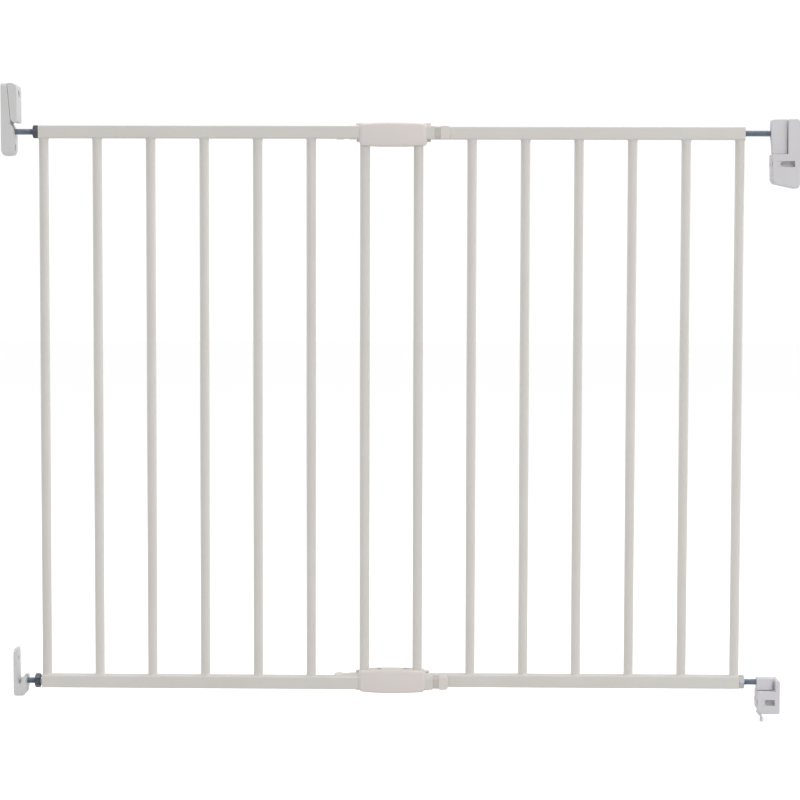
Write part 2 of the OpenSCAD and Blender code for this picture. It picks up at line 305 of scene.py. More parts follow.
# ---------------------------------------------------------------- geometry node helpers
class Tree:
    """A geometry node group under construction, with named inputs."""

    def __init__(self, name, inputs):
        self.group = bpy.data.node_groups.new(name, "GeometryNodeTree")
        sockets = self.group.interface
        sockets.new_socket("Geometry", in_out="OUTPUT", socket_type="NodeSocketGeometry")
        for label, kind in inputs:
            sockets.new_socket(label, in_out="INPUT", socket_type=f"NodeSocket{kind}")
        self.source = self.group.nodes.new("NodeGroupInput")
        self.sink = self.group.nodes.new("NodeGroupOutput")

    def node(self, kind, **settings):
        """A node of a kind, with its properties set."""
        made = self.group.nodes.new(kind)
        for key, value in settings.items():
            setattr(made, key, value)
        return made

    def link(self, origin, target):
        """Links an output to an input, or sets a plain value."""
        if isinstance(origin, (int, float, tuple)):
            target.default_value = origin
        else:
            self.group.links.new(origin, target)

    def feed(self, node, **origins):
        """Feeds a node's inputs by name, with _ for a space in the name."""
        for key, origin in origins.items():
            self.link(origin, node.inputs[key.replace("_", " ")])

    def line_up(self, count, pitch, piece):
        """Copies of a piece in a row along X."""
        row = self.node("GeometryNodeMeshLine", mode="OFFSET")
        self.feed(row, Count=count, Offset=self.join(pitch, 0.0, 0.0))
        rank = self.node("GeometryNodeInstanceOnPoints")
        self.feed(rank, Points=row.outputs["Mesh"], Instance=piece)
        return rank.outputs[0]

    def math(self, operation, first, second=None):
        """A Math node's output."""
        made = self.node("ShaderNodeMath", operation=operation)
        for index, value in enumerate((first, second)):
            if value is not None:
                self.link(value, made.inputs[index])
        return made.outputs[0]

    def split(self, vector):
        """The X, Y and Z outputs of a vector."""
        made = self.node("ShaderNodeSeparateXYZ")
        self.link(vector, made.inputs[0])
        return made.outputs

    def join(self, x, y, z):
        """A vector from three values."""
        made = self.node("ShaderNodeCombineXYZ")
        for index, value in enumerate((x, y, z)):
            self.link(value, made.inputs[index])
        return made.outputs[0]

    def close(self, geometry):
        """Realizes instances, sets the material and ends the tree."""
        realize = self.node("GeometryNodeRealizeInstances")
        paint = self.node("GeometryNodeSetMaterial")
        self.link(geometry, realize.inputs["Geometry"])
        self.link(realize.outputs[0], paint.inputs["Geometry"])
        self.link(self.source.outputs["Material"], paint.inputs["Material"])
        self.link(paint.outputs[0], self.sink.inputs[0])
        return self.group


def bar_row_tree():
    """A row of upright bars whose ends flare into the welds."""
    tree = Tree("Bar row", [
        ("Count", "Int"), ("Pitch", "Float"), ("Radius", "Float"), ("Height", "Float"),
        ("Weld Reach", "Float"), ("Weld Flare", "Float"), ("Material", "Material"),
    ])
    ins = tree.source.outputs
    bar = tree.node("GeometryNodeMeshCylinder", fill_type="NGON")
    tree.feed(bar, Vertices=40, Side_Segments=72, Radius=ins["Radius"], Depth=ins["Height"])
    # rows crowd towards the two ends, so that the welds have a smooth curve
    at = tree.split(tree.node("GeometryNodeInputPosition").outputs[0])
    half = tree.math("DIVIDE", ins["Height"], 2.0)
    share = tree.math("DIVIDE", at["Z"], half)
    bent = tree.math("SINE", tree.math("MULTIPLY", share, math.pi / 2))
    from_end = tree.math("MULTIPLY", tree.math("SUBTRACT", 1.0, tree.math("ABSOLUTE", bent)), half)
    near = tree.math("SUBTRACT", 1.0, tree.math("DIVIDE", from_end, ins["Weld Reach"]))
    near = tree.math("MAXIMUM", near, 0.0)
    swell = tree.math("MULTIPLY", tree.math("POWER", near, 2.2), ins["Weld Flare"])
    grow = tree.math("ADD", 1.0, tree.math("DIVIDE", swell, ins["Radius"]))
    shape = tree.node("GeometryNodeSetPosition")
    tree.feed(shape, Geometry=bar.outputs["Mesh"], Position=tree.join(
        tree.math("MULTIPLY", at["X"], grow), tree.math("MULTIPLY", at["Y"], grow),
        tree.math("MULTIPLY", bent, half)))
    return tree.close(tree.line_up(ins["Count"], ins["Pitch"], shape.outputs[0]))


def thread_tree():
    """A threaded rod along X with a helical groove and chamfered ends."""
    tree = Tree("Threaded rod", [
        ("Length", "Float"), ("Radius", "Float"), ("Pitch", "Float"), ("Depth", "Float"),
        ("Rows", "Int"), ("Material", "Material"),
    ])
    ins = tree.source.outputs
    stock = tree.node("GeometryNodeMeshCylinder", fill_type="NGON")
    tree.feed(stock, Vertices=24, Side_Segments=ins["Rows"], Radius=ins["Radius"],
              Depth=ins["Length"])
    at = tree.split(tree.node("GeometryNodeInputPosition").outputs[0])
    around = tree.math("DIVIDE", tree.math("ARCTAN2", at["Y"], at["X"]), 2 * math.pi)
    along = tree.math("DIVIDE", at["Z"], ins["Pitch"])
    phase = tree.math("FRACT", tree.math("ADD", tree.math("SUBTRACT", along, around), 1000.0))
    ridge = tree.math("ABSOLUTE", tree.math("SUBTRACT", tree.math("MULTIPLY", phase, 2.0), 1.0))
    ridge = tree.math("MULTIPLY", tree.math("SUBTRACT", ridge, 0.14), 1.39)
    ridge = tree.math("MINIMUM", tree.math("MAXIMUM", ridge, 0.0), 1.0)
    sunk = tree.math("SUBTRACT", 1.0, ridge)
    half = tree.math("DIVIDE", ins["Length"], 2.0)
    from_end = tree.math("SUBTRACT", half, tree.math("ABSOLUTE", at["Z"]))
    thread_r = tree.math("SUBTRACT", ins["Radius"], tree.math("MULTIPLY", sunk, ins["Depth"]))
    tip_r = tree.math("SUBTRACT", ins["Radius"], tree.math("MULTIPLY", ins["Depth"], 1.3))
    end_r = tree.math("ADD", tip_r, from_end)
    factor = tree.math("DIVIDE", tree.math("MINIMUM", thread_r, end_r), ins["Radius"])
    # how deep each point lies in the groove, kept before the move, for the painted shade that
    # darkens the thread's roots
    mark = tree.node("GeometryNodeStoreNamedAttribute", data_type="FLOAT", domain="POINT")
    mark.inputs["Name"].default_value = "groove"
    tree.feed(mark, Geometry=stock.outputs["Mesh"], Value=sunk)
    shape = tree.node("GeometryNodeSetPosition")
    tree.feed(shape, Geometry=mark.outputs[0], Position=tree.join(
        at["Z"], tree.math("MULTIPLY", at["X"], factor), tree.math("MULTIPLY", at["Y"], factor)))
    return tree.close(shape.outputs[0])


def rib_row_tree():
    """A row of thin raised rings of a rounded rectangle, along X."""
    tree = Tree("Rib row", [
        ("Count", "Int"), ("Pitch", "Float"), ("Width", "Float"), ("Height", "Float"),
        ("Thickness", "Float"), ("Corner", "Float"), ("Material", "Material"),
    ])
    ins = tree.source.outputs
    path = tree.node("GeometryNodeCurvePrimitiveQuadrilateral", mode="RECTANGLE")
    tree.feed(path, Width=ins["Width"], Height=ins["Height"])
    round_off = tree.node("GeometryNodeFilletCurve", mode="POLY")
    tree.feed(round_off, Curve=path.outputs[0], Radius=ins["Corner"], Count=4)
    section = tree.node("GeometryNodeCurvePrimitiveCircle", mode="RADIUS")
    tree.feed(section, Resolution=10, Radius=tree.math("DIVIDE", ins["Thickness"], 2.0))
    ring = tree.node("GeometryNodeCurveToMesh")
    tree.feed(ring, Curve=round_off.outputs[0], Profile_Curve=section.outputs[0])
    turned = tree.node("GeometryNodeTransform")
    tree.feed(turned, Geometry=ring.outputs[0], Rotation=(math.pi / 2, 0, math.pi / 2))
    return tree.close(tree.line_up(ins["Count"], ins["Pitch"], turned.outputs[0]))


def grow(name, group, values, anchor):
    """A plain mesh object grown by a geometry node group, placed with its mesh at an anchor."""
    obj = bpy.data.objects.new(name, bpy.data.meshes.new(name))
    bpy.context.collection.objects.link(obj)
    modifier = obj.modifiers.new("grow", "NODES")
    modifier.node_group = group
    for item in group.interface.items_tree:
        if item.in_out == "INPUT":
            modifier[item.identifier] = values[item.name]
    settle(obj)
    bm = bmesh.new()
    bm.from_mesh(obj.data)
    bmesh.ops.transform(bm, matrix=Matrix.Translation(anchor), verts=bm.verts)
    bmesh.ops.remove_doubles(bm, verts=bm.verts, dist=MERGE_GAP)
    bmesh.ops.recalc_face_normals(bm, faces=bm.faces)
    bm.to_mesh(obj.data)
    bm.free()
    smooth(obj)
    return obj


# ---------------------------------------------------------------- material helpers
def shared_group(name, build, inputs, outputs):
    """A shader node group, built once and found again by name."""
    group = bpy.data.node_groups.get(name)
    if group:
        return group
    group = bpy.data.node_groups.new(name, "ShaderNodeTree")
    for label, kind, value in inputs:
        made = group.interface.new_socket(label, in_out="INPUT", socket_type=f"NodeSocket{kind}")
        made.default_value = value
    for label, kind in outputs:
        group.interface.new_socket(label, in_out="OUTPUT", socket_type=f"NodeSocket{kind}")
    build(group, group.nodes.new("NodeGroupInput"), group.nodes.new("NodeGroupOutput"))
    return group


def noise_node(nodes, links, place_from, scale, detail, roughness=0.55):
    """A noise texture read at object coordinates."""
    noise = nodes.new("ShaderNodeTexNoise")
    noise.inputs["Detail"].default_value = detail
    noise.inputs["Roughness"].default_value = roughness
    links.new(place_from, noise.inputs["Vector"])
    if isinstance(scale, float):
        noise.inputs["Scale"].default_value = scale
    else:
        links.new(scale, noise.inputs["Scale"])
    return noise.outputs["Fac"]


def build_skin(group, source, sink):
    """Fine grain of a sprayed or moulded skin: a normal, a tone and a roughness change."""
    nodes, links = group.nodes, group.links
    place_from = nodes.new("ShaderNodeTexCoord").outputs["Object"]
    grain = noise_node(nodes, links, place_from, source.outputs["Grain Scale"], 4.0)
    sweep = noise_node(nodes, links, place_from, source.outputs["Tone Scale"], 2.0)
    bump = nodes.new("ShaderNodeBump")
    bump.inputs["Distance"].default_value = 0.00008
    links.new(source.outputs["Grain Strength"], bump.inputs["Strength"])
    links.new(grain, bump.inputs["Height"])
    links.new(bump.outputs["Normal"], sink.inputs["Normal"])
    for fac, label, low, high in ((sweep, "Tone", 0.3, 0.7), (grain, "Gloss", 0.25, 0.75)):
        spread = nodes.new("ShaderNodeMapRange")
        spread.inputs["From Min"].default_value = low
        spread.inputs["From Max"].default_value = high
        links.new(fac, spread.inputs["Value"])
        links.new(spread.outputs["Result"], sink.inputs[label])


def build_handling(group, source, sink):
    """Where hands and dust leave a faint tone: upward faces and a slow mottling."""
    nodes, links = group.nodes, group.links
    coords = nodes.new("ShaderNodeTexCoord")
    facing = nodes.new("ShaderNodeSeparateXYZ")
    links.new(nodes.new("ShaderNodeNewGeometry").outputs["Normal"], facing.inputs[0])
    mottle = noise_node(nodes, links, coords.outputs["Object"], 55.0, 5.0, 0.6)
    dust = facing.outputs["Z"]
    for factor in (mottle, source.outputs["Amount"]):
        product = nodes.new("ShaderNodeMath")
        product.operation = "MULTIPLY"
        product.use_clamp = True
        links.new(dust, product.inputs[0])
        links.new(factor, product.inputs[1])
        dust = product.outputs[0]
    links.new(dust, sink.inputs["Dust"])


def skin_group():
    """The shared grain of the coated and moulded surfaces."""
    return shared_group(
        "Surface skin", build_skin,
        [("Grain Scale", "Float", 900.0), ("Tone Scale", "Float", 12.0),
         ("Grain Strength", "Float", 0.3)],
        [("Normal", "Vector"), ("Tone", "Float"), ("Gloss", "Float")],
    )


def handling_group():
    """The shared dust on upward faces."""
    return shared_group(
        "Dust and handling", build_handling, [("Amount", "Float", 0.2)], [("Dust", "Float")]
    )


def mix_colours(nodes, links, factor, first, second):
    """A colour mix; each colour is a tuple or a socket."""
    mix = nodes.new("ShaderNodeMix")
    mix.data_type = "RGBA"
    links.new(factor, mix.inputs[0])
    for socket, value in ((mix.inputs[6], first), (mix.inputs[7], second)):
        if isinstance(value, tuple):
            socket.default_value = value
        else:
            links.new(value, socket)
    return mix.outputs[2]


def spread_value(nodes, links, source, low, high):
    """Maps 0..1 to low..high."""
    spread = nodes.new("ShaderNodeMapRange")
    spread.inputs["To Min"].default_value = low
    spread.inputs["To Max"].default_value = high
    links.new(source, spread.inputs["Value"])
    return spread.outputs["Result"]


def new_material(name):
    """A material with its nodes, its links and its shader."""
    material = bpy.data.materials.new(name)
    material.use_nodes = True
    nodes = material.node_tree.nodes
    return material, nodes, material.node_tree.links, nodes["Principled BSDF"]


def coated(name, colour, grain_scale, grain, gloss_low, gloss_high, dust, coat):
    """A light coated or moulded finish: grain, a slow tone change, dust and uneven gloss."""
    material, nodes, links, shader = new_material(name)
    skin = nodes.new("ShaderNodeGroup")
    skin.node_tree = skin_group()
    skin.inputs["Grain Scale"].default_value = grain_scale
    skin.inputs["Grain Strength"].default_value = grain
    handling = nodes.new("ShaderNodeGroup")
    handling.node_tree = handling_group()
    handling.inputs["Amount"].default_value = dust
    base = tuple(colour) + (1.0,)
    deeper = tuple(c * k for c, k in zip(colour, (0.965, 0.96, 0.95))) + (1.0,)
    dusty = tuple(c * k for c, k in zip(colour, (0.86, 0.85, 0.82))) + (1.0,)
    toned = mix_colours(nodes, links, skin.outputs["Tone"], base, deeper)
    links.new(mix_colours(nodes, links, handling.outputs["Dust"], toned, dusty),
              shader.inputs["Base Color"])
    links.new(spread_value(nodes, links, skin.outputs["Gloss"], gloss_low, gloss_high),
              shader.inputs["Roughness"])
    links.new(skin.outputs["Normal"], shader.inputs["Normal"])
    shader.inputs["IOR"].default_value = 1.5
    shader.inputs["Coat Weight"].default_value = coat
    shader.inputs["Coat Roughness"].default_value = 0.25
    return material


def plated(name, colour, root_shade_colour, rough_low, rough_high):
    """Zinc-plated steel: passivated tint, fine scratches, and painted shade darkening the thread
    roots.
    """
    material, nodes, links, shader = new_material(name)
    coords = nodes.new("ShaderNodeTexCoord").outputs["Object"]
    stretch = nodes.new("ShaderNodeMapping")
    stretch.inputs["Scale"].default_value = (60.0, 900.0, 900.0)
    links.new(coords, stretch.inputs["Vector"])
    scratches = noise_node(nodes, links, stretch.outputs["Vector"], 1.0, 2.0)
    tint = noise_node(nodes, links, coords, 260.0, 3.0)
    base = tuple(colour) + (1.0,)
    cooler = tuple(c * k for c, k in zip(colour, (0.80, 0.86, 0.95))) + (1.0,)
    shade = mix_colours(nodes, links, tint, base, cooler)
    # painted shade: the thread's roots are darkened by how deep they lie in the groove
    if root_shade_colour:
        groove = nodes.new("ShaderNodeAttribute")
        groove.attribute_name = "groove"
        shade = mix_colours(nodes, links, groove.outputs["Fac"], shade, root_shade_colour + (1.0,))
    links.new(shade, shader.inputs["Base Color"])
    links.new(spread_value(nodes, links, scratches, rough_low, rough_high),
              shader.inputs["Roughness"])
    bump = nodes.new("ShaderNodeBump")
    bump.inputs["Distance"].default_value = 0.00002
    bump.inputs["Strength"].default_value = 0.35
    links.new(scratches, bump.inputs["Height"])
    links.new(bump.outputs["Normal"], shader.inputs["Normal"])
    shader.inputs["Metallic"].default_value = 0.9
    return material


# ---------------------------------------------------------------- finishes of this gate
# colour, grain scale, grain strength, lowest and highest roughness, dust, clear coat
COATED = {
    "powder coat": ("powder", 1500.0, 0.42, 0.30, 0.44, 0.45, 0.12),
    "coupler plastic": ("coupler", 2600.0, 0.30, 0.36, 0.48, 0.35, 0.0),
    # painted shade: the plug necks use a darker copy of the coupler plastic for the shade that
    # falls on them
    "neck plastic": ("neck", 2600.0, 0.30, 0.42, 0.55, 0.30, 0.0),
    "latch plastic": ("latch", 2200.0, 0.34, 0.34, 0.46, 0.35, 0.0),
    "hinge plastic": ("hinge", 2200.0, 0.34, 0.34, 0.46, 0.35, 0.0),
}
# colour, painted shade colour of the thread's roots if it has a thread, lowest and highest
# roughness
PLATED = {
    # painted shade: the dark second colour darkens the spindles' thread roots
    "blue zinc": ("zinc", (0.09, 0.10, 0.125), 0.24, 0.42),
    # painted reflection: the latch nuts' near-black plating stands for the dark reflections on
    # their faces
    "dark zinc": ("dark_nut", None, 0.26, 0.45),
    "pale zinc": ("pale_nut", None, 0.26, 0.42),
}


def finish_for(key):
    """A finish of the gate by its short name, made the first time it is asked for."""
    made = bpy.data.materials.get(key)
    if made:
        return made
    colour, *values = COATED[key] if key in COATED else PLATED[key]
    make = coated if key in COATED else plated
    return make(key, getattr(bpy.context.scene.gate_colours, colour), *values)


# ---------------------------------------------------------------- panels
def build_rails():
    """The four rails: square-section tubes with softened ends."""
    for side, body in PANELS.items():
        for level, stem in LEVELS.items():
            node = f"{side}_{stem}"
            low, high = corner_pair(node)
            length, width, height = ((b - a) / MM for a, b in zip(low, high))
            wall = bpy.context.scene.gate_sizes.tube_wall / MM
            tube = extrude(rounded_box_outline(width, height, 2.0), "YZ", 0, length, 0.3)
            hollow = extrude(
                rounded_box_outline(width - 2 * wall, height - 2 * wall, 1.0), "YZ", -1, length + 1)
            tube = carve(tube, [hollow])
            anchor = Vector((low.x, middle(node).y, middle(node).z))
            finish_piece(tube, f"{side}_{level}_rail_tube", anchor, finish_for("powder coat"),
                         body, [node])


def build_bars():
    """The eight round bars of each panel, flared where they are welded to the rails."""
    sizes = bpy.context.scene.gate_sizes
    group = bar_row_tree()
    for side, body in PANELS.items():
        nodes = [f"{side}_bar_{i}" for i in range(1, 9)]
        lows = sorted(corner_pair(node)[0].x for node in nodes)
        low, high = corner_pair(nodes[0])
        radius = (high.x - low.x) / 2
        values = {
            "Count": len(nodes), "Pitch": lows[1] - lows[0], "Radius": radius,
            "Height": high.z - low.z, "Weld Reach": sizes.weld_reach,
            "Weld Flare": sizes.weld_flare, "Material": finish_for("powder coat"),
        }
        anchor = Vector((lows[0] + radius, middle(nodes[0]).y, middle(nodes[0]).z))
        row = grow(f"{side}_bars", group, values, anchor)
        tie(row, finish_for("powder coat"), body, nodes)


def build_plugs():
    """End plugs with a ribbed neck, and the sleeves that guide the spindles."""
    group = rib_row_tree()
    for side, body in PANELS.items():
        way = 1 if side == "front" else -1
        for level, stem in LEVELS.items():
            rail_low, rail_high = corner_pair(f"{side}_{stem}")
            centre = middle(f"{side}_{stem}")
            _, width, height = ((b - a) / MM for a, b in zip(rail_low, rail_high))
            plug_node = f"{side}_{level}_plug"
            plug_low, plug_high = corner_pair(plug_node)
            inner_x = rail_high.x if way > 0 else rail_low.x
            reach = (plug_high.x - inner_x if way > 0 else inner_x - plug_low.x) / MM
            stem_bm = extrude(rounded_box_outline(width - 2.6, height - 2.6, 1.5), "YZ",
                              -PLUG_DEPTH, PLUG_NECK + 1, 0.2)
            head = extrude(
                fillet([(PLUG_NECK, -height / 2, 0.8), (reach, -height / 2, 5),
                        (reach, height / 2, 5), (PLUG_NECK, height / 2, 0.8)]),
                "XZ", -width / 2, width / 2, 2.0)
            flip = Matrix.Diagonal((way, 1, 1, 1))
            anchor = Vector((inner_x, centre.y, centre.z))
            # the neck's darker plastic is painted shade; the head has the plain coupler plastic
            for bm, suffix, key in ((stem_bm, "neck", "neck plastic"),
                                    (head, "head", "coupler plastic")):
                bmesh.ops.transform(bm, matrix=flip, verts=bm.verts)
                finish_piece(bm, f"{plug_node}_{suffix}", anchor, finish_for(key), body,
                             [plug_node])
            # the ribs share the necks' painted shade
            ribs = grow(f"{plug_node}_ribs", group, {
                "Count": 3, "Pitch": RIB_PITCH * MM, "Width": (width - 1.6) * MM,
                "Height": (height - 1.6) * MM, "Thickness": 0.9 * MM, "Corner": 1.6 * MM,
                "Material": finish_for("neck plastic"),
            }, anchor + Vector((FIRST_RIB * MM if way > 0 else LAST_RIB * MM, 0, 0)))
            tie(ribs, finish_for("neck plastic"), body, [plug_node])
            build_sleeve(side, level, body, way, rail_low, rail_high, centre)


def build_sleeve(side, level, body, way, rail_low, rail_high, centre):
    """One spindle sleeve in a rail's outer end, with a nose where the frame gives it one."""
    node = f"{side}_{level}_insert"
    low, high = corner_pair(node)
    outer_x = rail_low.x if way > 0 else rail_high.x
    nose = (outer_x - low.x if way > 0 else high.x - outer_x) / MM
    bore = (corner_pair("upper_latch_spindle")[1].z - middle("upper_latch_spindle").z) / MM + 0.05
    _, width, height = ((b - a) / MM for a, b in zip(low, high))
    sleeve = extrude(rounded_box_outline(width, height, 1.0), "YZ", 0.2, SLEEVE_DEPTH, 0.3)
    if nose > 0.1:
        sleeve = carve(sleeve, [rod("X", (0.1 - nose, 0, 0), nose + 1.9, 5.0)], "UNION")
    sleeve = carve(sleeve, [rod("X", (-nose - 1, 0, 0), nose + 40, bore)])
    bmesh.ops.transform(sleeve, matrix=Matrix.Diagonal((way, 1, 1, 1)), verts=sleeve.verts)
    finish = finish_for("blue zinc" if nose > 0.1 else "coupler plastic")
    finish_piece(sleeve, f"{node}_sleeve", Vector((outer_x, centre.y, centre.z)), finish,
                 body, [node])


# ---------------------------------------------------------------- couplers
def pillow(half_width, half_height, front, back, mid_z):
    """The coupler shell's outside: a bulged, arched block with rounded ends, as a loft along X."""
    stations = 56
    end_round = 5.0
    rings = []
    bm = bmesh.new()
    for i in range(stations + 1):
        x = -half_width * math.cos(math.pi * i / stations)
        into_end = max(0.0, abs(x) - (half_width - end_round))
        shrink = end_round - math.sqrt(max(end_round**2 - into_end**2, 0.0))
        h = half_height - x * x / 1240.0 - shrink * 0.98
        face = front + x * x / 600.0 + shrink * 0.8
        corner = min(3.6, 0.6 * h, 0.45 * (back - face))
        section = fillet([
            (back, -h, 0.6), (face + 0.8, -h, corner), (face, 0, 0), (face + 0.8, h, corner),
            (back, h, 0.6),
        ], 7)
        rings.append([bm.verts.new((x, p.x, p.y + mid_z)) for p in section])
    for first, second in zip(rings, rings[1:]):
        count = len(first)
        for k in range(count):
            j = (k + 1) % count
            bm.faces.new((first[k], first[j], second[j], second[k]))
    bm.faces.new(rings[0])
    bm.faces.new(list(reversed(rings[-1])))
    bmesh.ops.recalc_face_normals(bm, faces=bm.faces)
    return bm


def cross_head_screw(length):
    """A pan-head screw with a cross recess, its head down and its shank up."""
    head = lathe([(0, 0), (1.6, 0), (2.7, 0.35), (3.3, 1.0), (3.5, 1.7), (3.5, 2.4), (0, 2.4)])
    slots = [block((-2, -0.35, -1), (2, 0.35, 1.1)), block((-0.35, -2, -1), (0.35, 2, 1.1))]
    head = carve(head, slots)
    shank = lathe([(0, 2.3), (1.75, 2.3), (1.75, length - 2), (0.3, length), (0, length)], 24)
    return merge([head, shank])


def build_couplers():
    """Front shells, rear guides and screws of the two couplers."""
    plastic = finish_for("coupler plastic")
    screws = []
    for level, stem in LEVELS.items():
        up = 1 if level == "top" else -1
        shell_node, guide_node = f"{level}_coupler_shell", f"{level}_coupler_guide"
        anchor = Vector((middle(shell_node).x, 0, middle(f"front_{stem}").z))
        flip = Matrix.Diagonal((1, 1, up, 1))

        rail_low, rail_high = local_box(f"front_{stem}", anchor)
        rail_y, half_rail = middle(f"front_{stem}").y / MM, (rail_high.z - rail_low.z) / 2
        low, high = local_box(shell_node, anchor)
        back, half_w, half_h = high.y, (high.x - low.x) / 2, (high.z - low.z) / 2
        mid_z = up * (middle(shell_node).z - anchor.z) / MM
        floor = mid_z - half_h
        shell = pillow(half_w, half_h, low.y, back, mid_z)
        cutters = [block((-60, rail_low.y, -half_rail), (60, back + 2, half_rail))]
        for bar in ("front_bar_7", "front_bar_8"):
            bar_x = (middle(bar).x - anchor.x) / MM
            cutters.append(rod("Z", (bar_x, rail_y, -30), 30, BAR_HOLE))
        cutters.append(block((-11, rail_y - 6, floor + 2.5), (11, back + 2, -half_rail + 1)))
        for s in (-1, 1):
            mouth = (s * COUPLER_SCREW_X, rail_y, floor - 2)
            cutters += [rod("Z", mouth, 12, 1.85), rod("Z", mouth, 5, 3.8)]
        shell = carve(shell, cutters)
        bmesh.ops.transform(shell, matrix=flip, verts=shell.verts)
        finish_piece(shell, f"{level}_coupler_front", anchor, plastic,
                     "front_panel", [shell_node])

        low, high = local_box(guide_node, anchor)
        rear_y = middle(f"rear_{stem}").y / MM
        inside = rear_y + (rail_high.y - rail_low.y) / 2 + SLIDE_GAP
        top = high.z if up > 0 else -low.z
        web = half_rail + SLIDE_GAP
        lip = -web - 2.7
        half_w = (high.x - low.x) / 2
        guide = extrude(fillet([
            (-0.3, web, 0), (inside, web, 0.6), (inside, -web, 0.4), (inside - 2.2, -web, 0.4),
            (inside - 2.2, lip, 0.8), (high.y, lip, 1.6), (high.y, top, 2.6), (-0.3, top, 0.4),
        ], 5), "YZ", -half_w, half_w, 0.9)
        bmesh.ops.transform(guide, matrix=flip, verts=guide.verts)
        finish_piece(guide, f"{level}_coupler_rear", anchor, plastic,
                     "front_panel", [guide_node])
        for s in (-1, 1):
            screw = cross_head_screw(9.5)
            seat = Matrix.Translation((s * COUPLER_SCREW_X, rail_y, floor + 0.6))
            bmesh.ops.transform(
                screw, matrix=Matrix.Translation(anchor / MM) @ flip @ seat, verts=screw.verts)
            screws.append(screw)
    finish_piece(merge(screws), "coupler_screw_set", Vector((0, 0, 0)), finish_for("pale zinc"),
                 "front_panel", ["coupler_screws"])


# ---------------------------------------------------------------- spindles and nuts
def build_spindles():
    """The four threaded spindles."""
    sizes = bpy.context.scene.gate_sizes
    group = thread_tree()
    for node in ("upper_latch_spindle", "lower_latch_spindle",
                 "upper_hinge_spindle", "lower_hinge_spindle"):
        body = node if "latch" in node else "rear_panel"
        low, high = corner_pair(node)
        length = high.x - low.x
        rod_piece = grow(f"{node}_thread", group, {
            "Length": length, "Radius": (high.z - low.z) / 2, "Pitch": sizes.thread_pitch,
            "Depth": sizes.thread_depth, "Rows": int(length / sizes.thread_pitch * 8),
            "Material": finish_for("blue zinc"),
        }, middle(node))
        tie(rod_piece, finish_for("blue zinc"), body, [node])


def hex_nut(across_flats, height, bore, corner_up):
    """A hexagon nut along X with the curved chamfers of a turned face."""
    apothem = across_flats / 2
    turned = apothem * 0.97
    sides = 96
    bm = bmesh.new()
    rings = []
    half = height / 2
    # round rings as (radius, distance from the middle); None is the hexagon
    shape = ((bore, half - 0.7), (bore + 0.7, half), (turned, half), None)
    for face in (1, -1):
        for rule in shape if face > 0 else reversed(shape):
            ring = []
            for k in range(sides):
                angle = 2 * math.pi * k / sides
                hexagon = apothem / math.cos((angle + math.pi / 6) % (math.pi / 3) - math.pi / 6)
                slope = max(0.0, hexagon - turned) * math.tan(math.radians(30))
                radius, x = rule or (hexagon, half - slope)
                spin = angle + (0 if corner_up else math.pi / 6)
                ring.append(bm.verts.new(
                    (face * x, radius * math.cos(spin), radius * math.sin(spin))))
            rings.append(ring)
    for index, ring in enumerate(rings):
        following = rings[(index + 1) % len(rings)]
        for k in range(sides):
            j = (k + 1) % sides
            bm.faces.new((ring[k], ring[j], following[j], following[k]))
    bmesh.ops.recalc_face_normals(bm, faces=bm.faces)
    return bm


def build_nuts():
    """The three hexagon nuts, with the flats turned as the frame has them."""
    finishes = {
        # painted reflection: the latch nuts are made dark for the dark reflections on their faces
        "upper_latch_nut": ("upper_latch_nut", "dark zinc"),
        "lower_latch_nut": ("lower_latch_nut", "dark zinc"),
        "lower_hinge_nut": ("rear_panel", "pale zinc"),
    }
    for node, (body, key) in finishes.items():
        low, high = corner_pair(node)
        across = min(high.y - low.y, high.z - low.z) / MM
        corner_up = high.z - low.z > high.y - low.y
        nut = hex_nut(across, (high.x - low.x) / MM, 3.5, corner_up)
        finish_piece(nut, f"{node}_hex", middle(node), finish_for(key), body, [node])


# ---------------------------------------------------------------- hinge side
def screw_channels(anchor_z, wall, left, depth):
    """Cutters for the two ramped screw channels of a hinge bracket, with their holes."""
    floor_x = wall - 6.5
    offset = SCREW_SPREAD
    reach = depth / 2 - offset
    ramp = [(floor_x, 0), (floor_x, -reach - 1), (left + 5, -reach - 1), (left + 5, -reach),
            (left + 9, 1.5 - reach), (floor_x - 6, 0)]
    cutters = []
    for s in (-1, 1):
        y = s * offset
        cutters.append(rod("X", (floor_x - 1, y, anchor_z), wall - floor_x + 3, SCREW_HOLE))
        cutters.append(rod("X", (left - 2, y, anchor_z), floor_x - left + 2, 3.8))
        outline = [Vector((x, s * (offset - inward))) for x, inward in ramp]
        cutters.append(extrude(outline, "XY", anchor_z - 3.8, anchor_z + 3.8))
    return cutters


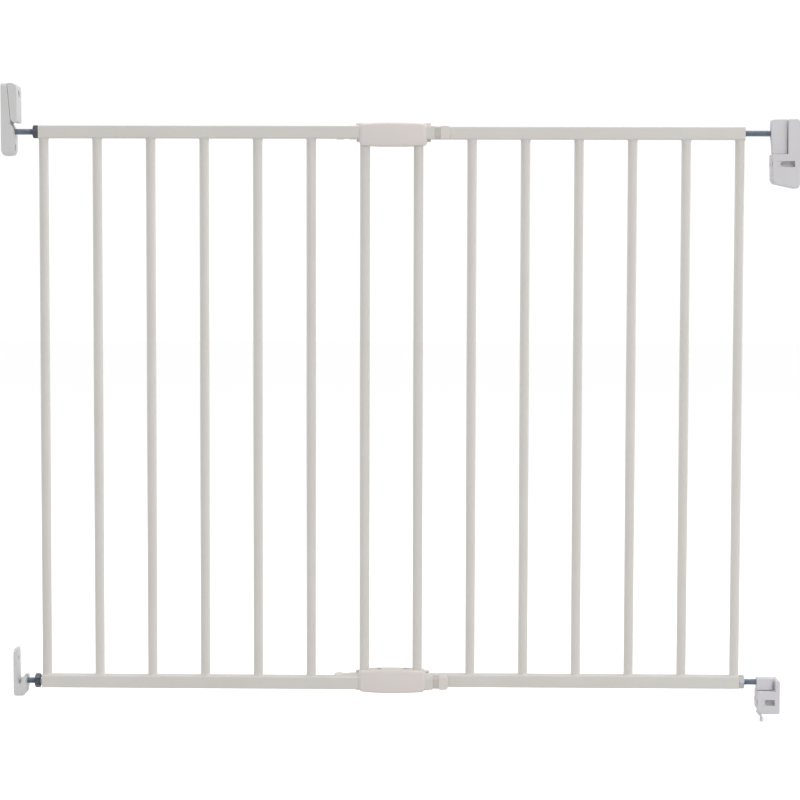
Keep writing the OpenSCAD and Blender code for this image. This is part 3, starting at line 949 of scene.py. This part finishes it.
def build_hinges():
    """Hinge brackets, knuckles, pins and the stop clip."""
    round_mm = bpy.context.scene.gate_sizes.edge_round / MM
    plastic = finish_for("hinge plastic")
    upper = hinge_anchor("upper_hinge_pin", "upper_hinge_spindle")
    lower = hinge_anchor("lower_hinge_pin", "lower_hinge_spindle")

    low, high = local_box("upper_hinge_bracket", upper)
    left, wall, bottom, top, depth = low.x, high.x, low.z, high.z, high.y - low.y
    seat = local_box("upper_knuckle", upper)[0].z - LEDGE_GAP
    body = extrude(fillet([
        (SEAM_X, top, 2), (wall - 1.5, top - 0.2, 5), (wall, top - 6, 4), (wall, bottom + 5, 3),
        (wall - 2, bottom, 4), (left + 3, bottom + 6.5, 5), (left + 0.6, bottom + 12, 6),
        (left, seat, 1.2), (SEAM_X, seat, 1.0),
    ]), "XZ", -depth / 2, depth / 2, round_mm)
    body = carve(body, [rod("Z", (0, 0, seat), 60, SWING_ROOM, 96)]
                 + screw_channels(-39, wall, left, depth))
    finish_piece(body, "upper_hinge_wall_bracket", upper, plastic, "hinge_brackets",
                 ["upper_hinge_bracket"])

    low, high = local_box("upper_knuckle", upper)
    k_left, k_right, k_low, k_top = low.x, high.x, low.z, high.z
    half = (high.y - low.y) / 2
    knuckle = extrude(fillet([
        (k_left + 0.4, k_top - 0.4, 3), (k_right, k_top, 1.4), (k_right, k_low, 1.2),
        (k_left + 2.2, k_low, 1.6), (k_left + 1.6, -13, 10), (k_left, -3, 10),
    ]), "XZ", -half, half, 1.8)
    knuckle = carve(knuckle, [
        rod("X", (k_left - 2, 0, 0), 5, 4.4), rod("Z", (0, 0, k_low - 1), 42, PIN_HOLE)])
    finish_piece(knuckle, "upper_hinge_knuckle", upper, plastic, "rear_panel",
                 ["upper_knuckle"])

    low, high = local_box("lower_hinge_bracket", lower)
    left, wall, bottom, top, depth = low.x, high.x, low.z, high.z, high.y - low.y
    seat = local_box("lower_knuckle", lower)[0].z - LEDGE_GAP
    body = extrude(fillet([
        (6.9, top - 2, 1.5), (8.4, top, 3), (wall, top - 0.4, 2.5), (wall, bottom, 3),
        (left + 4, bottom, 3), (left, bottom + 5, 4), (left, seat, 2), (6.9, seat, 0.8),
    ]), "XZ", -depth / 2, depth / 2, round_mm * 0.8)
    body = carve(body, screw_channels(-24, wall, left, depth))
    finish_piece(body, "lower_hinge_wall_bracket", lower, plastic, "hinge_brackets",
                 ["lower_hinge_bracket"])

    low, high = local_box("lower_knuckle", lower)
    k_left, k_right, k_low, k_top = low.x, high.x, low.z, high.z
    half = (high.y - low.y) / 2
    plan = [Vector((k_right * math.sin(a), -half * math.cos(a)))
            for a in [math.pi * k / 20 for k in range(21)]]
    plan += [Vector(point) for point in (
        (k_left + 3, half), (k_left + 0.8, half - 1), (k_left, half - 3),
        (k_left, 3 - half), (k_left + 0.8, 1 - half), (k_left + 3, -half))]
    knuckle = extrude(plan, "XY", k_low, k_top, 1.6)
    knuckle = carve(knuckle, [
        rod("X", (k_left - 2, 0, 0), 5, 4.3), rod("Z", (0, 0, k_low - 1), 14, PIN_HOLE)])
    finish_piece(knuckle, "lower_hinge_knuckle", lower, plastic, "rear_panel",
                 ["lower_knuckle"])

    for node, anchor in (("upper_hinge_pin", upper), ("lower_hinge_pin", lower)):
        low, high = local_box(node, anchor)
        start, end, radius = low.z, high.z, (high.x - low.x) / 2
        pin = lathe([(0, start), (radius - 0.8, start), (radius, start + 0.8),
                     (radius, end - 0.8), (radius - 0.8, end), (0, end)])
        finish_piece(pin, f"{node}_rod", anchor, finish_for("pale zinc"), "hinge_pins",
                     [node])

    low, high = local_box("stop_clip", lower)
    clip = extrude(fillet([
        (-16, -34, 0.3), (-12, -39, 1.5), (-10, -40.6, 1.5), (-9.4, -43, 2), (-9.4, low.z, 0.9),
        (-11.8, low.z, 0.9), (-11.8, -43.6, 2), (-13.6, -41, 2), (-17, -37.4, 2), (-17.4, -35, 0.6),
    ]), "XZ", low.y, high.y, 0.5)
    finish_piece(clip, "stop_clip_strip", lower, plastic, "hinge_brackets",
                 ["stop_clip"])


# ---------------------------------------------------------------- latch side
def open_slot(start, top, radius):
    """Cutter for a U-slot along X, open at the top."""
    outline = [Vector((radius * math.cos(a), radius * math.sin(a)))
               for a in [math.pi + math.pi * k / 24 for k in range(25)]]
    outline += [Vector((radius, top)), Vector((-radius, top))]
    return extrude(outline, "YZ", start, start + 40)


def soft_corners(body, low, high, bottom, top, radius):
    """Rounds a bracket's corners as seen from the side, by keeping what lies in a rounded plate."""
    plate = rounded_box_outline(high - low, top - bottom, radius, 10)
    shift = Vector(((low + high) / 2, (top + bottom) / 2))
    keep = extrude([p + shift for p in plate], "YZ", -30, 60)
    return carve(body, [keep], "INTERSECT")


def build_latches():
    """Latch bracket, latch cup and the sliding lock cap."""
    round_mm = bpy.context.scene.gate_sizes.edge_round / MM
    plastic = finish_for("latch plastic")
    upper = latch_anchor("upper_latch_bracket", "upper_latch_spindle")
    lower = latch_anchor("lower_latch_cup", "lower_latch_spindle")

    low, high = local_box("upper_latch_bracket", upper)
    depth, body_x, bottom, top = high.y - low.y, high.x, low.z, high.z
    body = extrude(fillet([
        (0, top, 1), (7.8, top, 1.2), (8.4, 55, 4), (12, 14.8, 0.8), (11.2, 9.6, 1.4),
        (12.6, 7.6, 0.8), (body_x - 2, 6, 2), (body_x, 0, 3), (body_x, -24, 4),
        (body_x - 2.5, bottom + 1.2, 3), (3, bottom, 2.5), (0, -24, 5),
    ]), "XZ", -depth / 2, depth / 2, round_mm)
    body = soft_corners(body, -depth / 2, depth / 2, bottom, top, 5)
    tongue = extrude(rounded_box_outline(16, 14, 1.0), "YZ", 6, 15.5, 0.5)
    bmesh.ops.translate(tongue, vec=(0, 0, 35), verts=tongue.verts)
    body = carve(body, [tongue], "UNION")
    cutters = [open_slot(6, 21, SLOT_RADIUS)]
    for z in (-20, 48):
        cutters += [rod("X", (-1, 0, z), 30, SCREW_HOLE), rod("X", (5, 0, z), 30, 4.5)]
    body = carve(body, cutters)
    finish_piece(body, "upper_latch_wall_bracket", upper, plastic, "latch_brackets",
                 ["upper_latch_bracket"])

    high = local_box("lock_cap", upper)[1]
    face, cap_top = high.x, high.z
    cap = extrude(fillet([
        (8.7, 57, 0.3), (8.3, cap_top - 0.4, 0.6), (14.5, cap_top, 2), (face - 0.6, 57.5, 3.5),
        (face, 50, 4), (face, 11.4, 1.6), (15.5, 11.1, 1.5), (12.4, 14.8, 0.8),
    ]), "XZ", -depth / 2, depth / 2, round_mm)
    cap = carve(cap, [block((0, 2.4 - depth / 2, 14.6), (face - 2.4, depth / 2 - 2.4, 57)),
                      rod("X", (0, 0, 48), 40, 4.5)])
    finish_piece(cap, "latch_lock_cap", upper, plastic, "lock_cap", ["lock_cap"])

    low, high = local_box("lower_latch_cup", lower)
    depth, block_x, bottom, top = high.y - low.y, high.x, low.z, high.z
    cup = extrude(fillet([
        (0.5, top, 1.0), (4.0, top, 2.0), (4.5, 34, 4), (4.5, 5, 1.5), (6.6, -2.7, 0.8),
        (9, -2.7, 0.8), (11, 6.5, 1.5), (block_x, 7, 1.5), (block_x, -8, 3),
        (block_x - 1, -14.5, 3), (block_x - 4, bottom, 3), (1.5, bottom, 1.5), (0, -14, 3),
        (0, 34, 4),
    ]), "XZ", -depth / 2, depth / 2, 1.3)
    cup = soft_corners(cup, -depth / 2, depth / 2, bottom, top, 7)
    cup = carve(cup, [
        open_slot(6, 18, SLOT_RADIUS),
        rod("X", (-1, 0, 28.5), 30, SCREW_HOLE), rod("X", (3, 0, 28.5), 30, 3.6),
        rod("X", (-1, 0, -12), 30, SCREW_HOLE), rod("X", (4.5, 0, -12), 30, 3.5)])
    finish_piece(cup, "lower_latch_wall_cup", lower, plastic, "latch_brackets",
                 ["lower_latch_cup"])


# ---------------------------------------------------------------- stage
def soft_lamp(name, place_at, size, power, aim):
    """An area lamp aimed at a point."""
    data = bpy.data.lights.new(name, "AREA")
    data.shape = "RECTANGLE"
    data.size, data.size_y = size
    data.energy = power
    lamp = bpy.data.objects.new(name, data)
    bpy.context.collection.objects.link(lamp)
    lamp.location = place_at
    lamp.rotation_euler = (Vector(aim) - Vector(place_at)).to_track_quat("-Z", "Y").to_euler()
    return lamp


def camera_only(tree, low, high):
    """A value that is high for what the camera sees directly and low for all other light."""
    ray = tree.nodes.new("ShaderNodeLightPath")
    strength = tree.nodes.new("ShaderNodeMapRange")
    strength.inputs["To Min"].default_value = low
    strength.inputs["To Max"].default_value = high
    tree.links.new(ray.outputs["Is Camera Ray"], strength.inputs["Value"])
    return strength.outputs["Result"]


def build_floor():
    """A plain pale floor that runs into a plain pale background."""
    bm = bmesh.new()
    bmesh.ops.create_grid(bm, x_segments=2, y_segments=2, size=12.0)
    floor = to_object(bm, "studio_floor")
    floor.location.z = -0.001
    paper, _, links, shader = new_material("pale floor")
    shader.inputs["Base Color"].default_value = (0.72, 0.72, 0.72, 1)
    shader.inputs["Roughness"].default_value = 0.9
    shader.inputs["Emission Color"].default_value = (1, 1, 1, 1)
    links.new(camera_only(paper.node_tree, 0.0, 0.56), shader.inputs["Emission Strength"])
    floor.data.materials.append(paper)


def build_camera():
    """The camera, in front of the gate and a little above its middle."""
    data = bpy.data.cameras.new("camera")
    data.lens = 105.66
    data.sensor_width = 36
    data.clip_end = 60
    camera = bpy.data.objects.new("camera", data)
    bpy.context.collection.objects.link(camera)
    camera.location = (0.0585, -3.0, 0.6073)
    tilt, pan, roll = (math.radians(a) for a in (3.734, 1.123, 0.142))
    camera.rotation_euler = (
        Matrix.Rotation(pan, 4, "Z") @ Matrix.Rotation(math.pi / 2 - tilt, 4, "X")
        @ Matrix.Rotation(roll, 4, "Z")
    ).to_euler()
    bpy.context.scene.camera = camera


def build_stage():
    """Pale floor, studio light and the camera."""
    scene = bpy.context.scene
    build_floor()
    world = bpy.data.worlds.new("studio")
    scene.world = world
    world.use_nodes = True
    background = world.node_tree.nodes["Background"]
    background.inputs["Color"].default_value = (1, 1, 1, 1)
    world.node_tree.links.new(camera_only(world.node_tree, 0.58, 1.05),
                              background.inputs["Strength"])
    target = (0, 0, 0.4)
    soft_lamp("overhead", (0, 0.2, 2.6), (3.0, 1.6), 26, target)
    soft_lamp("right_side", (2.6, 1.0, 1.2), (1.6, 2.0), 15, target)
    soft_lamp("left_side", (-2.6, 1.2, 1.2), (1.6, 2.0), 9, target)
    soft_lamp("front_fill", (2.0, -3.0, 1.9), (1.6, 1.6), 24, target)
    build_camera()
    scene.view_settings.view_transform = "Standard"
    scene.view_settings.look = "None"


# ---------------------------------------------------------------- add-on
def colour_property(label, words, default):
    """A colour property of the gate."""
    return bpy.props.FloatVectorProperty(
        name=label, description=words, subtype="COLOR", size=3, min=0, max=1, default=default)


def length_property(label, words, default, low, high):
    """A length property of the gate, in metres."""
    return bpy.props.FloatProperty(
        name=label, description=words, subtype="DISTANCE", unit="LENGTH",
        min=low, max=high, default=default, precision=5)


class GateSizes(bpy.types.PropertyGroup):
    """Sizes that the frame leaves open."""

    tube_wall: length_property("Tube Wall", "Wall thickness of the rails", 0.0012, 0.0008, 0.002)
    weld_reach: length_property("Weld Reach", "Height of a weld's fillet", 0.0026, 0.001, 0.004)
    weld_flare: length_property("Weld Flare", "How far a weld's fillet spreads", 0.0011, 0, 0.0015)
    thread_pitch: length_property("Thread Pitch", "Pitch of the spindles' thread",
                                  0.00125, 0.001, 0.002)
    thread_depth: length_property("Thread Depth", "Depth of the spindles' thread",
                                  0.00065, 0.0003, 0.0009)
    edge_round: length_property("Edge Round", "Rounding of the brackets' faces",
                                0.0022, 0.001, 0.003)


class GateColours(bpy.types.PropertyGroup):
    """Colours of the finishes."""

    powder: colour_property("Powder Coat", "Paint of the rails and bars", (0.80, 0.775, 0.735))
    coupler: colour_property("Couplers", "Plastic of the couplers and plugs", (0.86, 0.80, 0.77))
    # painted shade: the plug necks' colour is the coupler plastic darkened for the shade on them
    neck: colour_property("Plug Necks", "Plastic of the plugs' ribbed necks", (0.78, 0.75, 0.71))
    latch: colour_property("Latch Plastic", "Plastic of the latch brackets", (0.77, 0.775, 0.775))
    hinge: colour_property("Hinge Plastic", "Plastic of the hinge brackets", (0.77, 0.76, 0.79))
    zinc: colour_property("Spindle Zinc", "Plating of the spindles", (0.60, 0.68, 0.78))
    # painted reflection: the near-black colour stands for dark reflections on the latch nuts
    dark_nut: colour_property("Latch Nuts", "Plating of the latch nuts", (0.13, 0.13, 0.145))
    pale_nut: colour_property("Hinge Nut", "Plating of the hinge nut, pins and screws",
                              (0.72, 0.72, 0.70))


class GATE_OT_rails(bpy.types.Operator):
    """Build the four rails"""

    bl_idname = "gate.rails"
    bl_label = "Rails"

    def execute(self, context):
        build_rails()
        return {"FINISHED"}


class GATE_OT_bars(bpy.types.Operator):
    """Build the upright bars of both panels"""

    bl_idname = "gate.bars"
    bl_label = "Bars"

    def execute(self, context):
        build_bars()
        return {"FINISHED"}


class GATE_OT_plugs(bpy.types.Operator):
    """Build the end plugs and the spindle sleeves"""

    bl_idname = "gate.plugs"
    bl_label = "Plugs and Sleeves"

    def execute(self, context):
        build_plugs()
        return {"FINISHED"}


class GATE_OT_couplers(bpy.types.Operator):
    """Build the couplers and their screws"""

    bl_idname = "gate.couplers"
    bl_label = "Couplers"

    def execute(self, context):
        build_couplers()
        return {"FINISHED"}


class GATE_OT_spindles(bpy.types.Operator):
    """Build the threaded spindles"""

    bl_idname = "gate.spindles"
    bl_label = "Spindles"

    def execute(self, context):
        build_spindles()
        return {"FINISHED"}


class GATE_OT_nuts(bpy.types.Operator):
    """Build the hexagon nuts"""

    bl_idname = "gate.nuts"
    bl_label = "Nuts"

    def execute(self, context):
        build_nuts()
        return {"FINISHED"}


class GATE_OT_hinges(bpy.types.Operator):
    """Build the hinge brackets, knuckles, pins and stop clip"""

    bl_idname = "gate.hinges"
    bl_label = "Hinges"

    def execute(self, context):
        build_hinges()
        return {"FINISHED"}


class GATE_OT_latches(bpy.types.Operator):
    """Build the latch bracket, latch cup and lock cap"""

    bl_idname = "gate.latches"
    bl_label = "Latches"

    def execute(self, context):
        build_latches()
        return {"FINISHED"}


class GATE_OT_stage(bpy.types.Operator):
    """Set up the floor, the light and the camera"""

    bl_idname = "gate.stage"
    bl_label = "Stage"

    def execute(self, context):
        build_stage()
        return {"FINISHED"}


STEPS = (
    GATE_OT_stage, GATE_OT_rails, GATE_OT_bars, GATE_OT_plugs, GATE_OT_couplers,
    GATE_OT_spindles, GATE_OT_nuts, GATE_OT_hinges, GATE_OT_latches,
)


class GATE_PT_panel(bpy.types.Panel):
    """Lists the gate's build steps, sizes and colours"""

    bl_label = "Baby Gate"
    bl_idname = "GATE_PT_panel"
    bl_space_type = "VIEW_3D"
    bl_region_type = "UI"
    bl_category = "Baby Gate"

    def draw(self, context):
        for step in STEPS:
            self.layout.operator(step.bl_idname)
        for settings in (context.scene.gate_sizes, context.scene.gate_colours):
            for name in settings.bl_rna.properties.keys():
                if name not in {"rna_type", "name"}:
                    self.layout.prop(settings, name)


CLASSES = (GateSizes, GateColours) + STEPS + (GATE_PT_panel,)


def register():
    """Registers the classes and the scene's settings."""
    for cls in CLASSES:
        bpy.utils.register_class(cls)
    bpy.types.Scene.gate_sizes = bpy.props.PointerProperty(type=GateSizes)
    bpy.types.Scene.gate_colours = bpy.props.PointerProperty(type=GateColours)


def unregister():
    """Removes the scene's settings and the classes."""
    del bpy.types.Scene.gate_colours
    del bpy.types.Scene.gate_sizes
    for cls in reversed(CLASSES):
        bpy.utils.unregister_class(cls)


def main():
    register()
    for step in STEPS:
        group, name = step.bl_idname.split(".")
        getattr(getattr(bpy.ops, group), name)()


if __name__ == "__main__":
    main()
